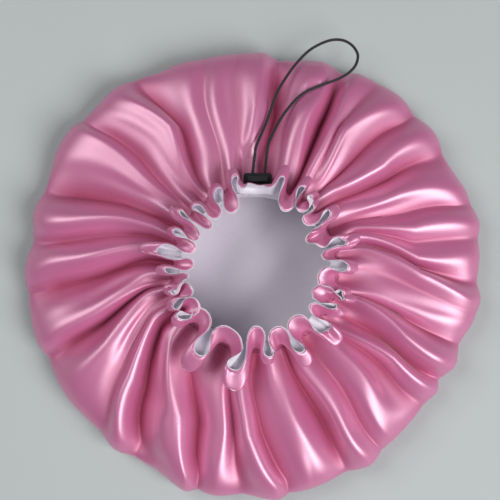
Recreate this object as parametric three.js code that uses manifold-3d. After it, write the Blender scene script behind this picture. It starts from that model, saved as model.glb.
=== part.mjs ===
// A satin hair bonnet lying on its crown with the opening facing up.
// Two round cloths, a pink outer shell and a white lining, are sewn together at their edge.
// A casing near the edge holds an elastic drawstring, which is drawn tight and held by a sprung cord lock.
// Millimetres, +Z up. The origin is the middle of the crown, on the surface that the bonnet lies on.

import * as THREE from 'three';
import { mergeVertices } from 'three/addons/utils/BufferGeometryUtils.js';
import Module from 'manifold-3d';

// Bonnet body: the outline of the outer face of the shell, from the crown out to the rim and back to the neck
const crownFlatRadius = 160;
const rimLowRadius = 180;
const rimLowHeight = 5;
const rimHighRadius = 183;
const rimHighHeight = 17;
const shoulderRadius = 172;
const shoulderHeight = 27.5;
const backRadius = 130;
const backHeight = 36.3;
const gatherRadius = 90;
const gatherHeight = 40;
const neckRadius = 63.5;
const neckBaseHeight = 40;

// Folds from the neck to the rim, as photographed: each ridge's angles in degrees near the neck, halfway and
// near the rim, the ridge's height and the depth of the valley after it as shares of foldHeight, and the
// valley's place as a share of the way to the next ridge
const foldHeight = 10;
const folds = [
  [12, -2, -7, 0.8, 0.7, 0.4],
  [17, 5, 3, 0.3, 0.3, 0.55],
  [23, 13.5, 13, 0.5, 0.4, 0.5],
  [31, 28, 22, 0.6, 0.7, 0.6],
  [46, 38.5, 39, 0.8, 0.5, 0.5],
  [54, 56, 51, 0.8, -0.2, 0.55],
  [60, 62, 61, 0.5, 1.3, 0.42],
  [68, 70.5, 72, 0.7, 1.2, 0.72],
  [94, 88, 88, 0.8, -0.4, 0.6],
  [104, 102, 100, 0.5, -0.2, 0.5],
  [112, 110, 108, 0.5, 0.9, 0.72],
  [125, 121, 127, 0.9, 0.2, 0.8],
  [140, 140, 141, 0.7, 0.9, 0.7],
  [156, 162, 166, 0.9, 0.3, 0.5],
  [169, 174.5, 180, 0.8, 1.1, 0.36],
  [189, 194.5, 199, 0.8, 1.2, 0.34],
  [195.5, 206, 213, 0.7, 0, 0.75],
  [205, 220.5, 230, 1, 1.5, 0.3],
  [223, 242, 252, 1, 1.1, 0.38],
  [254, 258.5, 261, 0.3, 0.6, 0.4],
  [262, 266, 276, 0.9, 0.5, 0.3],
  [283, 285, 286, 0.7, 1.3, 0.6],
  [296, 299, 301, 0.6, 0.3, 0.5],
  [314, 312, 309, 0.7, 0.5, 0.7],
  [325, 327.5, 326, 0.7, 1.1, 0.35],
  [343, 336, 334, 1, 0.5, 0.5],
];
const wideFold = 22;
const flankFall = 0.35;
const shoulderFoldShare = 0.55;
const backFoldShare = 1;
const gatherFoldShare = 0.5;
const rimFoldShare = 0.22;
const bagRoomHeight = 26.5;

// Header: the frill above the casing, which puffs out where a fold comes up and stands in between
const headerHeight = 14;
const headerPuffHeight = 6;
const headerPuff = 8;
const headerPuffSwing = 8;
const headerFlare = 4;
const headerSwing = 5;
const headerDip = 2;
const headerCalmAngle = 28;
const headerFullFold = 14;

// Cloth walls
const clothThickness = 1;
const layerGap = 0.6;
const rimSplitGap = 0.3;
const steepWallLimit = 1.5;

// Casing and its sewing
const neckToCord = 9;
const casingWidth = 12;
const casingRoom = 0.4;
const threadDiameter = 0.7;
const sewingGap = 0.3;
const buttonholeRoom = 0.5;

// Elastic drawstring
const cordDiameter = 2.4;
const cordMeetingGap = 0.3;
const strandSpacing = 9.6;
const strandLean = 7;
const strandLead = 2.4;
const restGap = 0.4;
const restReach = 18;
const restSlope = 0.6;
const knotLength = 9;
const knotHeight = 5;

// Cord lock
const lockCentreX = 2.4;
const lockRearGap = 0.4;
const lockTravel = 16;
const lockSideWall = 2.8;
const lockFaceWall = 2.9;
const lockFloor = 1.6;
const lockAboveCord = 5.2;
const lockCornerRadius = 2.4;
const lockEdgeBevel = 0.7;
const cordPassSlack = 2;
const cordPassCorner = 1.2;
const pinchClearance = 0.15;
const passReliefBelow = 0.5;

// Plunger and its spring
const plungerTravel = 3.2;
const plungerOvertravel = 0.4;
const plungerDepth = 4.6;
const plungerEndWeb = 1.4;
const plungerFoot = 1.5;
const plungerProud = 4.2;
const plungerClearance = 0.25;
const plungerBevel = 0.5;
const plungerCorner = 0.9;
const springDiameter = 3;
const springWire = 0.4;
const springCurls = 7;
const springBoreClearance = 0.2;
const springBoreDepth = 6;
const springSeatGap = 0.3;

// Facets of the round pieces
const cordSides = 8;
const ringSteps = 27;
const loopSteps = 64;
const stitchSides = 4;
const stitchSteps = 72;
const buttonholeSides = 6;
const buttonholeSteps = 20;
const knotSides = 12;
const knotRings = 8;
const boreSides = 16;
const cornerSteps = 3;
const springSides = 5;
const springStepsPerCurl = 8;

// Places worked out from the sizes above
const cordRadius = cordDiameter / 2;
const threadRadius = threadDiameter / 2;
const cordHeight = neckBaseHeight + neckToCord;
const casingTopHeight = cordHeight + casingWidth / 2;
const casingDepth = clothThickness + 2 * casingRoom + cordDiameter;
const ringRadius = neckRadius - clothThickness - casingRoom - cordRadius;
const lockRearY = neckRadius + sewingGap + threadDiameter + lockRearGap;
const lockDepth = plungerDepth + 2 * (plungerClearance + lockFaceWall);
const lockCentreY = lockRearY + lockDepth / 2;
const cordPassWidth = cordDiameter + cordPassSlack;
const plungerWidth = strandSpacing + cordPassWidth + 2 * plungerEndWeb;
const lockWidth = plungerWidth + 2 * (plungerClearance + lockSideWall);
const pinchBottom = cordHeight - cordRadius - pinchClearance;
const pinchTop = cordHeight + cordRadius + pinchClearance;
const plungerBottom = pinchBottom - plungerFoot;
const lockBottom = plungerBottom - plungerTravel - plungerOvertravel - lockFloor;
const lockTop = cordHeight + lockAboveCord;
const plungerTop = lockTop + plungerProud;
const lockAngle = Math.PI / 2;
const knotAngle = 1.5 * Math.PI;
const rimSplitStation = 1;

// Finishes
const pinkSatin = new THREE.MeshStandardMaterial({ color: 0xd9799f, roughness: 0.35, metalness: 0 });
const whiteSatin = new THREE.MeshStandardMaterial({ color: 0xe6e1ea, roughness: 0.4, metalness: 0 });
const pinkThread = new THREE.MeshStandardMaterial({ color: 0xcf6c95, roughness: 0.6, metalness: 0 });
const blackElastic = new THREE.MeshStandardMaterial({ color: 0x15161a, roughness: 0.7, metalness: 0 });
const blackPlastic = new THREE.MeshStandardMaterial({ color: 0x1b1c21, roughness: 0.45, metalness: 0 });
const springSteel = new THREE.MeshStandardMaterial({ color: 0x9a9ca0, roughness: 0.3, metalness: 1 });

const wasm = await Module();
wasm.setup();

// A closed mesh as a solid that can be cut
function solidOf(geometry) {
  const bare = geometry.clone();
  bare.deleteAttribute('normal');
  bare.deleteAttribute('uv');
  const merged = mergeVertices(bare.index ? bare.toNonIndexed() : bare, 1e-4);
  return new wasm.Manifold(new wasm.Mesh({
    numProp: 3,
    vertProperties: new Float32Array(merged.attributes.position.array),
    triVerts: new Uint32Array(merged.index.array),
  }));
}

// A solid as a geometry again
function geometryOf(solid) {
  const mesh = solid.getMesh();
  const geometry = new THREE.BufferGeometry();
  geometry.setAttribute('position', new THREE.BufferAttribute(mesh.vertProperties, 3));
  geometry.setIndex(new THREE.BufferAttribute(mesh.triVerts, 1));
  geometry.computeVertexNormals();
  return geometry;
}

// One geometry less a list of others
function cut(geometry, cutters) {
  const start = solidOf(geometry);
  const rest = cutters.reduce((solid, cutter) => solid.subtract(solidOf(cutter)), start);
  return geometryOf(rest);
}

// The outline's stations, from the crown to the edge of the header. fold is the share of the folds' height
// along the outline's normal, and in the header, in step with the folds, swing moves a point out and in and
// dip moves it down and up. The lining's depth counts from the shell's outer face.
function clothStations() {
  const plain = { fold: 0, swing: 0, dip: 0, flare: 0, liningDepth: clothThickness + layerGap };
  const casing = { ...plain, liningDepth: casingDepth };
  const puffHeight = casingTopHeight + headerPuffHeight;
  const edgeHeight = casingTopHeight + headerHeight;
  return [
    { ...plain, radius: crownFlatRadius, height: 0 },
    { ...plain, radius: rimLowRadius, height: rimLowHeight, fold: rimFoldShare / 2 },
    { ...plain, radius: rimHighRadius, height: rimHighHeight, fold: rimFoldShare },
    { ...plain, radius: shoulderRadius, height: shoulderHeight, fold: shoulderFoldShare },
    { ...plain, radius: backRadius, height: backHeight, fold: backFoldShare, least: bagRoomHeight },
    { ...plain, radius: gatherRadius, height: gatherHeight, fold: gatherFoldShare, least: bagRoomHeight },
    { ...casing, radius: neckRadius, height: neckBaseHeight },
    { ...casing, radius: neckRadius, height: casingTopHeight },
    { ...plain, radius: neckRadius, height: puffHeight, swing: headerPuffSwing, flare: headerPuff },
    { ...plain, radius: neckRadius, height: edgeHeight, swing: headerSwing, flare: headerFlare, dip: headerDip },
  ];
}

// The ridges' angles at a radius, in degrees, with the first ridge once more after a full turn
function ridgeAngles(radius) {
  const ridges = folds.map(([inner, halfway, outer]) => (radius < backRadius
    ? THREE.MathUtils.mapLinear(Math.max(radius, gatherRadius), gatherRadius, backRadius, inner, halfway)
    : THREE.MathUtils.mapLinear(Math.min(radius, shoulderRadius), backRadius, shoulderRadius, halfway, outer)));
  return [...ridges, ridges[0] + 360];
}

// The columns of the cloths at a radius: each fold's ridge and the valley after it, with one more column on
// each flank of a fold that is wide at the neck. A column has an angle, a height as a share of foldHeight, and
// the header's wave, which is calmer where the folds lie close together.
function foldColumns(radius) {
  const ridges = ridgeAngles(radius);
  const neckRidges = ridgeAngles(neckRadius);
  return folds.flatMap(([, , , ridge, valley, valleyPlace], index) => {
    const place = radius > neckRadius ? valleyPlace : 0.5;
    const wave = Math.min(1, (neckRidges[index + 1] - neckRidges[index]) / headerFullFold);
    const column = (share, height, swing) => ({
      angle: THREE.MathUtils.degToRad(THREE.MathUtils.lerp(ridges[index], ridges[index + 1], share)),
      share: height,
      wave: swing,
    });
    const flank = THREE.MathUtils.lerp(ridge, -valley, flankFall);
    const narrow = neckRidges[index + 1] - neckRidges[index] < wideFold;
    return [
      column(0, ridge, wave),
      ...(narrow ? [] : [column(place / 2, flank, 0)]),
      column(place, -valley, -wave),
      ...(narrow ? [] : [column((1 + place) / 2, flank, 0)]),
    ];
  });
}

// The way in from a station: the vector that keeps a wall's thickness on both stretches that meet there
function inwardAt(stations, index) {
  const crown = { radius: 0, height: 0 };
  const before = index > 0 ? stations[index - 1] : crown;
  const here = stations[index];
  const after = stations[index + 1] ?? here;
  const first = normalOf(before, here);
  const second = index + 1 < stations.length ? normalOf(here, after) : first;
  const share = 1 + first.dot(second);
  return first.add(second).divideScalar(-share);
}

// The outward normal of the stretch between two stations, as (radius, height)
function normalOf(from, to) {
  return new THREE.Vector2(to.height - from.height, from.radius - to.radius).normalize();
}

// How much of the header's swing is left at an angle: none behind the lock, all of it further round
function headerFreedom(angle) {
  const away = Math.abs(Math.atan2(Math.sin(angle - lockAngle), Math.cos(angle - lockAngle)));
  return THREE.MathUtils.smoothstep(away, 0, THREE.MathUtils.degToRad(headerCalmAngle));
}

// The outer face of the shell: rings of points from the flat crown to the edge, kept under the cord and lock
function outerFace() {
  const stations = clothStations();
  return stations.map((station, index) => {
    const normal = inwardAt(stations, index).normalize();
    return foldColumns(station.radius).map(({ angle, share, wave }) => {
      const relief = station.fold * foldHeight * share;
      const moved = (station.flare + station.swing * wave) * headerFreedom(angle);
      const radius = station.radius + moved - normal.x * relief;
      const height = station.height - station.dip * wave - normal.y * relief;
      const point = new THREE.Vector3(radius * Math.cos(angle), radius * Math.sin(angle), height);
      if (station.least !== undefined) point.z = Math.max(point.z, station.least);
      if (station.fold > 0) point.z = Math.min(point.z, restHeight(point.x, point.y));
      return point;
    });
  });
}

// One face of a cloth at a depth below the outer face. Where a ring climbs steeply from column to column, the
// depth grows, so that the walls keep their thickness there.
function clothFace(depthOf) {
  const stations = clothStations();
  return outerFace().map((ring, index) => {
    const inward = inwardAt(stations, index);
    const tilt = inward.clone().normalize();
    const across = ring.map((point) => tilt.x * Math.hypot(point.x, point.y) + tilt.y * point.z);
    return ring.map((point, step) => {
      const climbs = [ring.length - 1, 1].map((turn) => {
        const other = (step + turn) % ring.length;
        const climb = Math.abs(across[other] - across[step]);
        return climb / Math.sqrt(point.distanceToSquared(ring[other]) - climb ** 2);
      });
      const steepness = Math.min(Math.hypot(1, (climbs[0] + climbs[1]) / 2), steepWallLimit);
      const depth = depthOf(stations[index]) * (index > 1 ? steepness : 1);
      const reach = 1 + (inward.x * depth) / Math.hypot(point.x, point.y);
      return new THREE.Vector3(point.x * reach, point.y * reach, point.z + inward.y * depth);
    });
  });
}

// The rings of a face from one station to another. A start past the crown lies the split's gap further on.
function facePart(face, first, last) {
  const start = face[first].map((point, step) => {
    const onwards = face[first + 1][step].clone().sub(point).setLength(rimSplitGap);
    return first > 0 ? point.clone().add(onwards) : point;
  });
  return [start, ...face.slice(first + 1, last + 1)];
}

// A cloth, or the part of it between two stations, as one closed wall: its outer face, its inner face,
// the strips between them at its edges, and its middle where it starts at the crown
function clothGeometry(outerDepth, innerDepth, first = 0, last = clothStations().length - 1) {
  const outer = facePart(clothFace(outerDepth), first, last);
  const inner = facePart(clothFace(innerDepth), first, last);
  const outerPole = new THREE.Vector3(0, 0, outer[0][0].z);
  const innerPole = new THREE.Vector3(0, 0, inner[0][0].z);
  const corners = [];
  const quad = (a, b, c, d) => corners.push(a, b, c, a, c, d);
  const columns = outer[0].length;
  for (let step = 0; step < columns; step += 1) {
    const next = (step + 1) % columns;
    if (first === 0) {
      corners.push(outerPole, outer[0][next], outer[0][step]);
      corners.push(innerPole, inner[0][step], inner[0][next]);
    } else {
      quad(inner[0][step], inner[0][next], outer[0][next], outer[0][step]);
    }
    for (let row = 0; row + 1 < outer.length; row += 1) {
      quad(outer[row][step], outer[row][next], outer[row + 1][next], outer[row + 1][step]);
      quad(inner[row][step], inner[row + 1][step], inner[row + 1][next], inner[row][next]);
    }
    const edge = outer.length - 1;
    quad(outer[edge][step], outer[edge][next], inner[edge][next], inner[edge][step]);
  }
  const geometry = new THREE.BufferGeometry().setFromPoints(corners);
  geometry.computeVertexNormals();
  return geometry;
}

// How high the outer face may stand at a place: under the free loop, and under the lock's way along it
function restHeight(x, y) {
  const away = (fromX, toX, fromY, toY) => Math.hypot(
    Math.max(fromX - x, x - toX, 0),
    Math.max(fromY - y, y - toY, 0),
  );
  const climb = (distance) => restSlope * Math.max(distance - restReach, 0);
  const lockLeft = lockCentreX - lockWidth / 2;
  const lockRight = strandX(1, lockCentreY + lockTravel) - strandSpacing / 2 + lockWidth / 2;
  const lockFront = lockRearY + lockDepth + lockTravel;
  const underLock = lockBottom - restGap + climb(away(lockLeft, lockRight, lockRearY, lockFront));
  const underLoop = loopRoute.map(([fromX, fromY, height]) => (
    height - cordRadius - restGap + climb(Math.hypot(x - fromX, y - fromY))
  ));
  return Math.min(underLock, ...underLoop);
}

// The middle of a strand at a place along Y: side is -1 for the left strand and 1 for the right one
function strandX(side, y) {
  const lean = Math.tan(THREE.MathUtils.degToRad(strandLean));
  return lockCentreX + (side * strandSpacing) / 2 + (y - lockCentreY) * lean;
}

// A round section with flat sides
function roundSection(radius, sides) {
  const points = Array.from({ length: sides }, (unused, side) => {
    const angle = (2 * Math.PI * side) / sides;
    return new THREE.Vector2(radius * Math.cos(angle), radius * Math.sin(angle));
  });
  return new THREE.Shape(points);
}

// A closed tube along a curve
function tube(curve, radius, sides, steps) {
  return new THREE.ExtrudeGeometry(roundSection(radius, sides), { extrudePath: curve, steps });
}

// A round bar along Y, centred at a point
function barAlongY(radius, length, x, y, z) {
  const bar = new THREE.CylinderGeometry(radius, radius, length, boreSides);
  bar.translate(x, y, z);
  return bar;
}

// A rectangle with round corners, centred on the origin
function roundedRectangle(width, height, corner) {
  const x = width / 2;
  const y = height / 2;
  const shape = new THREE.Shape();
  shape.moveTo(x, y - corner);
  shape.absarc(x - corner, y - corner, corner, 0, Math.PI / 2);
  shape.absarc(corner - x, y - corner, corner, Math.PI / 2, Math.PI);
  shape.absarc(corner - x, corner - y, corner, Math.PI, 1.5 * Math.PI);
  shape.absarc(x - corner, corner - y, corner, 1.5 * Math.PI, 2 * Math.PI);
  return shape;
}

// An upright block with round corners and bevelled ends, between two heights
function block(width, depth, corner, bevel, bottom, top) {
  const outline = roundedRectangle(width - 2 * bevel, depth - 2 * bevel, corner - bevel);
  const geometry = new THREE.ExtrudeGeometry(outline, {
    depth: top - bottom - 2 * bevel,
    bevelEnabled: bevel > 0,
    bevelThickness: bevel,
    bevelSize: bevel,
    bevelSegments: 1,
    curveSegments: cornerSteps,
  });
  geometry.translate(lockCentreX, lockCentreY, bottom + bevel);
  return geometry;
}

// The two passages of the cord along Y, between two heights
function cordPasses(bottom, top) {
  return [-1, 1].map((side) => {
    const outline = roundedRectangle(cordPassWidth, top - bottom, cordPassCorner);
    const pass = new THREE.ExtrudeGeometry(outline, {
      depth: 2 * lockDepth,
      bevelEnabled: false,
      curveSegments: cornerSteps,
    });
    pass.rotateX(Math.PI / 2);
    pass.translate(strandX(side, lockCentreY), lockCentreY + lockDepth, (bottom + top) / 2);
    return pass;
  });
}

// Outer shell: one round pink cloth. Its crown and its gathered side are two solids that meet at the rim,
// so that each is open on one side and its collision can follow the hollow of the bag.
function shellCrown() {
  return clothGeometry(() => 0, () => clothThickness, 0, rimSplitStation);
}

// The gathered side, with a buttonhole in its casing for each strand
const buttonholeRadius = cordRadius + casingRoom;

function shellGathered() {
  const wall = clothGeometry(() => 0, () => clothThickness, rimSplitStation);
  const holes = [-1, 1].map((side) => {
    const x = strandX(side, neckRadius);
    return barAlongY(buttonholeRadius, 4 * clothThickness, x, neckRadius - clothThickness, cordHeight);
  });
  return cut(wall, holes);
}

// Lining: one round white cloth inside the shell, held away from it by the drawstring at the casing
function lining() {
  return clothGeometry(
    (station) => station.liningDepth,
    (station) => station.liningDepth + clothThickness,
  );
}

// One row of casing stitches, a thread round the outside of the neck
function casingStitch(height) {
  const centre = neckRadius + sewingGap + threadRadius;
  const section = roundSection(threadRadius, stitchSides).getPoints();
  const profile = [...section, section[0]].map((point) => new THREE.Vector2(centre + point.x, point.y));
  const ring = new THREE.LatheGeometry(profile, stitchSteps);
  ring.rotateX(Math.PI / 2);
  ring.translate(0, 0, height);
  return ring;
}

// The worked edge of a buttonhole, a thread ring round the cord where it leaves the casing
function buttonhole(side) {
  const edgeRadius = buttonholeRadius + buttonholeRoom + threadRadius;
  const ring = new THREE.TorusGeometry(edgeRadius, threadRadius, buttonholeSides, buttonholeSteps);
  ring.rotateX(Math.PI / 2);
  ring.translate(strandX(side, neckRadius), neckRadius + sewingGap + threadRadius, cordHeight);
  return ring;
}

// Half of the drawstring in the casing, from under a buttonhole to the knot on the far side
function drawstringHalf(side) {
  const exit = Math.atan2(neckRadius, strandX(side, neckRadius));
  const from = exit + (side * cordRadius) / ringRadius;
  const knotHalf = (knotLength / 2 + cordMeetingGap) / ringRadius;
  const to = side < 0 ? knotAngle - knotHalf : knotAngle - 2 * Math.PI + knotHalf;
  const points = Array.from({ length: ringSteps + 1 }, (unused, step) => {
    const angle = THREE.MathUtils.lerp(from, to, step / ringSteps);
    return new THREE.Vector3(ringRadius * Math.cos(angle), ringRadius * Math.sin(angle), cordHeight);
  });
  return tube(new THREE.CatmullRomCurve3(points), cordRadius, cordSides, ringSteps);
}

// The knot that joins the drawstring's two ends inside the casing, pressed flat between the cloths
function drawstringKnot() {
  const knot = new THREE.SphereGeometry(0.5, knotSides, knotRings);
  knot.scale(knotLength, cordDiameter, knotHeight);
  knot.translate(0, -ringRadius, cordHeight);
  return knot;
}

// The free loop of the drawstring: straight through the lock, then over the folds and past the rim
const loopRoute = [
  [2.3, 101, 47.8],
  [5.6, 109.5, 45],
  [9.8, 119.9, 41.6],
  [18.1, 143.7, 37.6],
  [26.9, 159.9, 33.6],
  [34.9, 171.3, 30.6],
  [44.8, 182.2, 28],
  [54.8, 188.7, 26.5],
  [64.8, 192.3, 26],
  [73.7, 192, 26],
  [80.5, 188.4, 26.2],
  [84.8, 182.8, 26.8],
  [86, 177.2, 27.8],
  [83.6, 169.5, 29.6],
  [78, 163.1, 31.4],
  [70, 157.9, 33],
  [60.1, 153.6, 34.6],
  [50.3, 149.5, 36],
  [42.4, 145.8, 37],
  [34.6, 139.8, 38.2],
  [26.7, 130.3, 40],
  [19.9, 119.9, 41.8],
  [15.1, 110, 45],
  [11.6, 101.5, 47.8],
];

function drawstringLoop() {
  const startY = ringRadius + cordRadius + cordMeetingGap;
  const straightY = lockRearY + lockDepth + lockTravel + cordDiameter;
  const strand = (side) => [startY, lockCentreY, straightY, straightY + strandLead].map(
    (y) => new THREE.Vector3(strandX(side, y), y, cordHeight),
  );
  const route = loopRoute.map((point) => new THREE.Vector3(...point));
  const curve = new THREE.CatmullRomCurve3([...strand(-1), ...route, ...strand(1).reverse()]);
  return tube(curve, cordRadius, cordSides, loopSteps);
}

// Lock body: a moulded block with a well for the plunger and two passages for the cord
function lockBody() {
  const outside = block(lockWidth, lockDepth, lockCornerRadius, lockEdgeBevel, lockBottom, lockTop);
  const wellWidth = plungerWidth + 2 * plungerClearance;
  const wellDepth = plungerDepth + 2 * plungerClearance;
  const wellCorner = plungerCorner + plungerClearance;
  const well = block(wellWidth, wellDepth, wellCorner, 0, lockBottom + lockFloor, plungerTop);
  const passBottom = cordHeight - cordRadius - passReliefBelow;
  return cut(outside, [well, ...cordPasses(passBottom, pinchTop)]);
}

// Lock plunger: a slab that the spring pushes up, so that the cord is pinched until it is pressed down
function lockPlunger() {
  const slab = block(plungerWidth, plungerDepth, plungerCorner, plungerBevel, plungerBottom, plungerTop);
  const boreRadius = springDiameter / 2 + springBoreClearance;
  const bore = new THREE.CylinderGeometry(boreRadius, boreRadius, 2 * springBoreDepth, boreSides);
  bore.rotateX(Math.PI / 2);
  bore.translate(lockCentreX, lockCentreY, plungerBottom);
  return cut(slab, [bore, ...cordPasses(pinchBottom, pinchTop + plungerTravel)]);
}

// A helix round the lock's upright axis
class Helix extends THREE.Curve {
  constructor(radius, bottom, top, turns) {
    super();
    Object.assign(this, { radius, bottom, top, turns });
  }

  getPoint(share, target = new THREE.Vector3()) {
    const angle = 2 * Math.PI * this.turns * share;
    const x = lockCentreX + this.radius * Math.cos(angle);
    const y = lockCentreY + this.radius * Math.sin(angle);
    return target.set(x, y, THREE.MathUtils.lerp(this.bottom, this.top, share));
  }
}

// Lock spring: a coil of steel wire between the body's floor and the top of the plunger's bore
function lockSpring() {
  const seat = springSeatGap + springWire / 2;
  const bottom = lockBottom + lockFloor + seat;
  const top = plungerBottom + springBoreDepth - seat;
  const helix = new Helix((springDiameter - springWire) / 2, bottom, top, springCurls);
  console.log('least gap between the curls of lock_spring, mm:', leastGap(helix).toFixed(2));
  return tube(helix, springWire / 2, springSides, springStepsPerCurl * springCurls);
}

// The least clear distance between points of the spring that lie half a turn or more apart
function leastGap(helix) {
  const pointsPerCurl = 16;
  const points = helix.getPoints(pointsPerCurl * springCurls);
  const distances = points.flatMap((point, index) => points
    .slice(index + pointsPerCurl / 2)
    .map((other) => point.distanceTo(other)));
  return Math.min(...distances) - springWire;
}

// One named piece
function piece(name, geometry, material) {
  const mesh = new THREE.Mesh(geometry, material);
  mesh.name = name;
  return mesh;
}

const bonnet = new THREE.Group();
bonnet.add(
  piece('outer_shell_crown', shellCrown(), pinkSatin),
  piece('outer_shell_gathered', shellGathered(), pinkSatin),
  piece('lining', lining(), whiteSatin),
  piece('casing_stitch_lower', casingStitch(cordHeight - casingWidth / 2), pinkThread),
  piece('casing_stitch_upper', casingStitch(casingTopHeight - threadDiameter), pinkThread),
  piece('buttonhole_left', buttonhole(-1), pinkThread),
  piece('buttonhole_right', buttonhole(1), pinkThread),
  piece('drawstring_left', drawstringHalf(-1), blackElastic),
  piece('drawstring_right', drawstringHalf(1), blackElastic),
  piece('drawstring_knot', drawstringKnot(), blackElastic),
  piece('drawstring_loop', drawstringLoop(), blackElastic),
  piece('lock_body', lockBody(), blackPlastic),
  piece('lock_plunger', lockPlunger(), blackPlastic),
  piece('lock_spring', lockSpring(), springSteel),
);

export default bonnet;
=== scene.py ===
"""A pink satin hair bonnet lying on its crown, dressed over its packed construction. Metres, +Z up."""

import bpy
import numpy as np
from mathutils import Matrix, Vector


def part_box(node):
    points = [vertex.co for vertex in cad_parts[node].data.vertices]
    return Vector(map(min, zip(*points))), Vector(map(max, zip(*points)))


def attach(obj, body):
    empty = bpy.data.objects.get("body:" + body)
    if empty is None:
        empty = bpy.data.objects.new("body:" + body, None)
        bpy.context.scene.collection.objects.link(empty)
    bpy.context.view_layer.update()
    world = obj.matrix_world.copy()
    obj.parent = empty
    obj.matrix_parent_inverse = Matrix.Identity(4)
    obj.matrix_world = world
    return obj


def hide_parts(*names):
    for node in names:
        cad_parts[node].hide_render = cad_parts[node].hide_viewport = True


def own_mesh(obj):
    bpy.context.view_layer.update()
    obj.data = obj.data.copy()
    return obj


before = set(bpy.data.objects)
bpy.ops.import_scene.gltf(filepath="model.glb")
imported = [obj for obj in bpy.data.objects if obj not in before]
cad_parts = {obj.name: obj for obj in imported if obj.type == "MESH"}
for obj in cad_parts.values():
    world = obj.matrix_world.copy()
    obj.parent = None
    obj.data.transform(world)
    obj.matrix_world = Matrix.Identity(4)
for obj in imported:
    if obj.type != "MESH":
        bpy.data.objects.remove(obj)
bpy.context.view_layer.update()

# The view: a camera held over the bonnet, tipped a little towards the near rim, as a person would hold it.
# The picture is square. One pixel at the height of the rim is a fixed share of a millimetre.
PICTURE_PIXELS = 500
RIM_PIXEL = 0.00083
RIM_HEIGHT = 0.015
VIEW_DISTANCE = 0.885
VIEW_TIP = np.radians(5.0)
VIEW_CENTRE = np.array([-0.0037, 0.0174, RIM_HEIGHT])

camera = bpy.data.cameras.new("overhead_camera")
camera.angle = 2 * np.arctan(PICTURE_PIXELS * RIM_PIXEL / 2 / VIEW_DISTANCE)
camera_object = bpy.data.objects.new("overhead_camera", camera)
camera_object.location = VIEW_CENTRE + VIEW_DISTANCE * np.array([0, -np.sin(VIEW_TIP), np.cos(VIEW_TIP)])
camera_object.rotation_euler = (VIEW_TIP, 0, 0)
bpy.context.collection.objects.link(camera_object)
bpy.context.scene.camera = camera_object
bpy.context.scene.view_settings.view_transform = "Standard"

# The ground: a plain pale floor, broad soft lights from the lower right, as from a window, and from the
# upper left, and an even pale world that fills the shadows.
FLOOR_SIZE = 3.0
FLOOR_COLOUR = (0.53, 0.575, 0.57)
FLOOR_ROUGHNESS = 0.9
ROOM_COLOUR = (0.92, 0.95, 1.0, 1)
ROOM_STRENGTH = 0.14
FLAT_MAP = "flat_map"


def new_material(name, colour, roughness, sockets=None):
    """A material with one Principled shader, and the shader. Each value is set on its own socket."""
    material = bpy.data.materials.new(name)
    material.use_nodes = True
    shader = material.node_tree.nodes["Principled BSDF"]
    shader.inputs["Base Color"].default_value = (*colour, 1)
    shader.inputs["Roughness"].default_value = roughness
    for socket, value in (sockets or {}).items():
        shader.inputs[socket].default_value = value
    return material, shader


def grid_mesh(name, points, ring=True, closed=False, pole=False, ends=False, flat=None):
    """A mesh from a grid of points, rows by columns, with a quad between each four neighbours.

    A ring joins the last column to the first, and a closed grid the last row to the first. A pole closes
    the first row with triangles to its middle, and ends close both the first and the last row that way.
    flat gives each grid point its place in the UV map, with one more column on a ring.
    """
    rows, columns = points.shape[:2]
    row_steps = np.arange(rows if closed else rows - 1)
    row, column = np.meshgrid(row_steps, np.arange(columns if ring else columns - 1), indexing="ij")
    corner_rows = np.stack([row, row, row + 1, row + 1], axis=-1).reshape(-1, 4)
    corner_columns = np.stack([column, column + 1, column + 1, column], axis=-1).reshape(-1, 4)
    faces = (corner_rows % rows * columns + corner_columns % columns).tolist()
    places = [points.reshape(-1, 3)]
    marks = [] if flat is None else [flat[corner_rows % rows, corner_columns].reshape(-1, 2)]
    first = np.arange(columns)
    for edge_row in ([0] if pole else []) + ([0, -1] if ends else []):
        middle = np.full(columns, rows * columns + len(places) - 1)
        rim = [np.roll(first, -1), first] if edge_row == 0 else [first, np.roll(first, -1)]
        faces += np.stack([middle, *(edge_row % rows * columns + side for side in rim)], axis=-1).tolist()
        places.append(points[edge_row].mean(axis=0, keepdims=True))
        if flat is not None:
            rim_flat = [flat[edge_row, 1:], flat[edge_row, :-1]]
            rim_flat = rim_flat if edge_row == 0 else rim_flat[::-1]
            marks.append(np.stack([(rim_flat[0] + rim_flat[1]) / 2, *rim_flat], axis=1).reshape(-1, 2))
    mesh = bpy.data.meshes.new(name)
    mesh.from_pydata(np.vstack(places).tolist(), [], faces)
    if flat is not None:
        layer = mesh.uv_layers.new(name=FLAT_MAP)
        layer.data.foreach_set("uv", np.vstack(marks).ravel())
    mesh.polygons.foreach_set("use_smooth", np.ones(len(mesh.polygons), dtype=bool))
    mesh.update()
    piece = bpy.data.objects.new(name, mesh)
    bpy.context.collection.objects.link(piece)
    return piece


def add_window(name, place, size, power, colour):
    """A square lamp at a place, turned to face the bonnet."""
    lamp = bpy.data.lights.new(name, "AREA")
    lamp.size = size
    lamp.energy = power
    lamp.color = colour
    lamp_object = bpy.data.objects.new(name, lamp)
    lamp_object.location = place
    lamp_object.rotation_euler = (-lamp_object.location).to_track_quat("-Z", "Y").to_euler()
    bpy.context.collection.objects.link(lamp_object)


floor_corners = FLOOR_SIZE / 2 * np.array([[[-1, -1, 0], [1, -1, 0]], [[-1, 1, 0], [1, 1, 0]]])
floor = grid_mesh("floor", floor_corners, ring=False)
floor.data.materials.append(new_material("pale_floor", FLOOR_COLOUR, FLOOR_ROUGHNESS)[0])

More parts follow.
